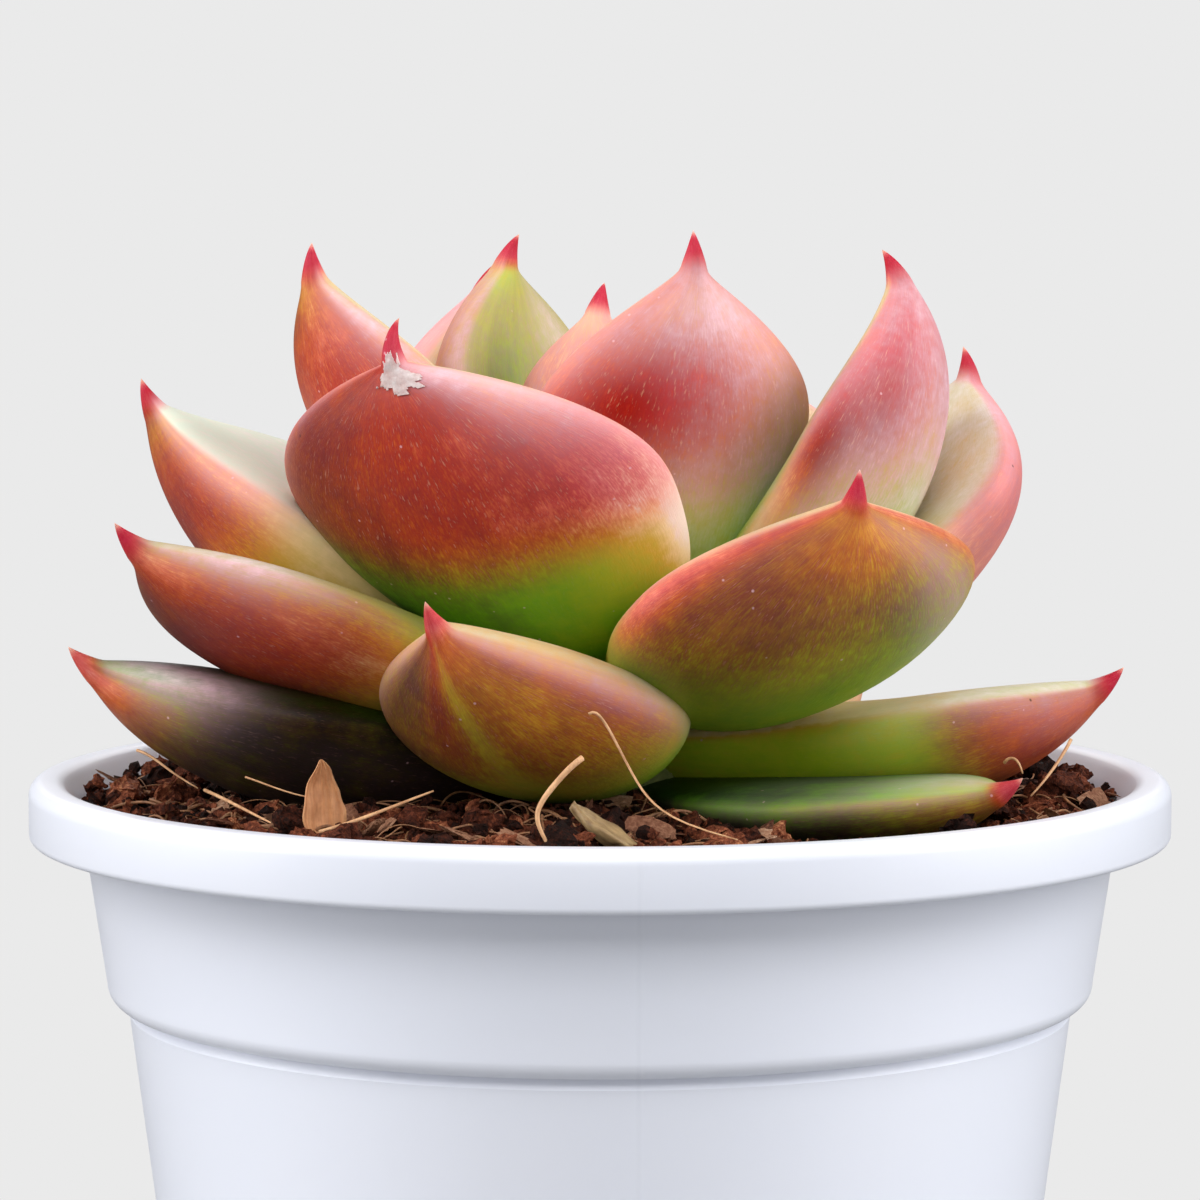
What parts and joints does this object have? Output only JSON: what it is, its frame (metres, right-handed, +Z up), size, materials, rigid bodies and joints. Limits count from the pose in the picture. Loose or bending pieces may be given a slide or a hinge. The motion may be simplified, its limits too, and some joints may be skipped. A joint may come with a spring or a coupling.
{
  "type": "potted echeveria",
  "caption": "Echeveria rosette with thick pointed leaves flushed rose and orange over green, on a short stem in potting mix, in a white lipped nursery pot.",
  "frame": {"origin": "centre of the pot's foot ring, on the surface it stands on", "axes": "+Z up the pot's axis, -Y towards the viewer of the picture, +X to the viewer's right"},
  "size_m": [0.1, 0.1, 0.1329],
  "materials": {
    "pot": "smooth white injection-moulded plastic, semi-gloss",
    "potting_mix": "damp reddish-brown bark and coir, rough",
    "stem": "green fleshy stem, browner at the root",
    "leaf": "waxy fleshy leaf, green at the base, orange to rose outwards, crimson point, pale bloom",
    "dry_leaf": "dry tan papery leaf scrap"
  },
  "bodies": {
    "root": {"pot": "pot", "potting_mix": "potting_mix", "stem": "stem", "dry_leaf_left": "dry_leaf", "dry_leaf_front": "dry_leaf", "leaf_01": "leaf", "leaf_02": "leaf", "leaf_03": "leaf", "leaf_04": "leaf", "leaf_05": "leaf", "leaf_06": "leaf", "leaf_07": "leaf", "leaf_08": "leaf", "leaf_09": "leaf", "leaf_10": "leaf", "leaf_11": "leaf", "leaf_12": "leaf", "leaf_13": "leaf", "leaf_14": "leaf", "leaf_15": "leaf", "leaf_16": "leaf", "leaf_17": "leaf", "leaf_18": "leaf", "leaf_19": "leaf", "leaf_20": "leaf", "leaf_21": "leaf", "leaf_22": "leaf", "leaf_23": "leaf", "leaf_24": "leaf", "leaf_25": "leaf", "leaf_26": "leaf", "leaf_27": "leaf", "leaf_28": "leaf"}
  },
  "joints": []
}
